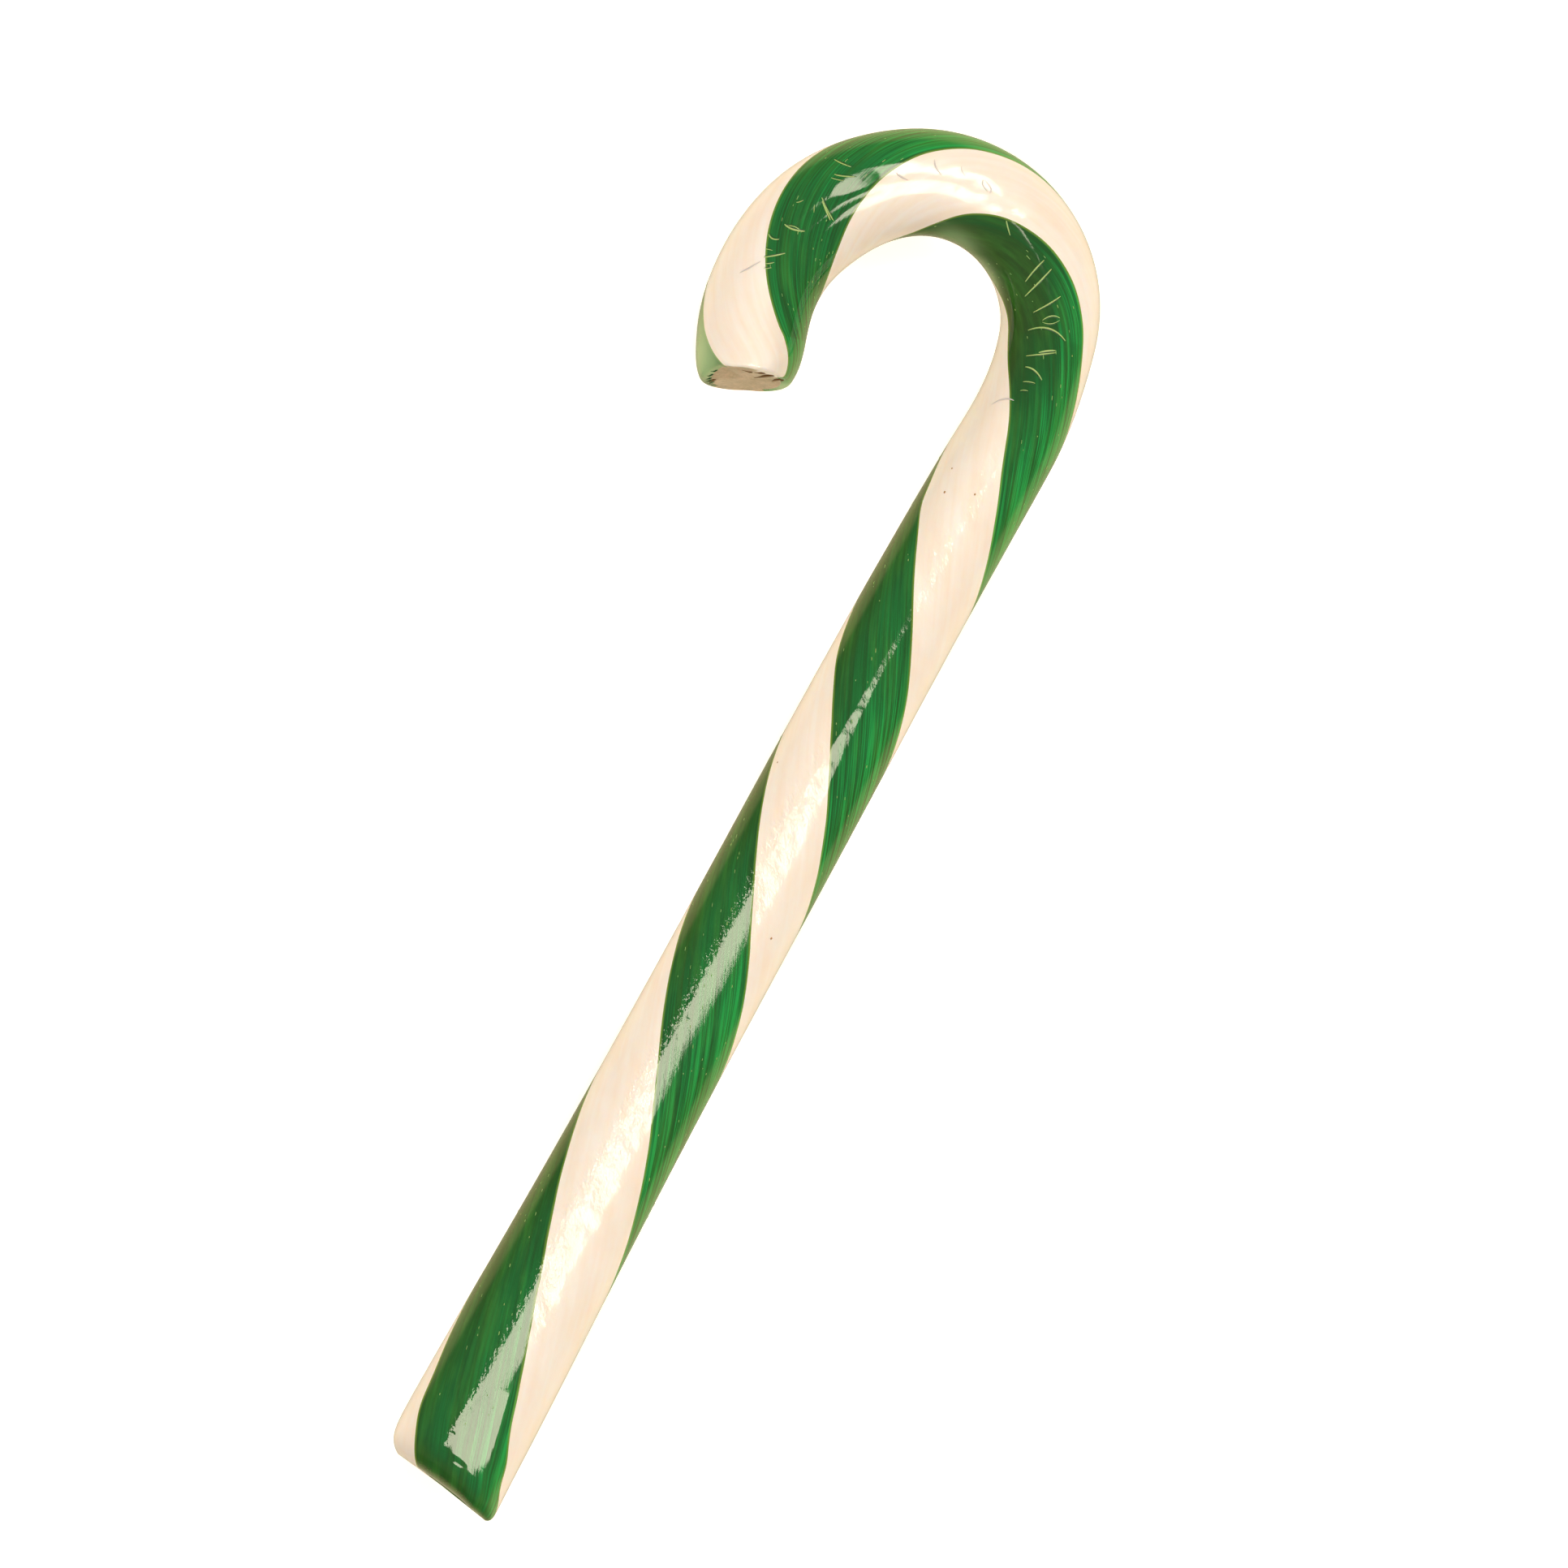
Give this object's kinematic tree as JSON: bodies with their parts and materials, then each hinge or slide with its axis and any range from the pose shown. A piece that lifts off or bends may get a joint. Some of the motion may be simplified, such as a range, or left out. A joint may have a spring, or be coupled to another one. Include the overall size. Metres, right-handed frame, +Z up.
{
  "type": "candy cane",
  "caption": "Twisted hard-sugar stick with a hooked end, striped in green and cream white, lying on its side.",
  "frame": {"origin": "middle of the outline seen from above, at the height of the surface the cane lies on", "axes": "+Y along the straight stick from the foot to the crown of the hook, -X toward the side the hook curls to, +Z up out of the surface"},
  "size_m": [0.0418, 0.15, 0.0122],
  "materials": {
    "sugar": "glossy boiled sugar, cream white with two broad green stripes that twist along the cane"
  },
  "bodies": {
    "root": {"candy_cane": "sugar"}
  },
  "joints": []
}
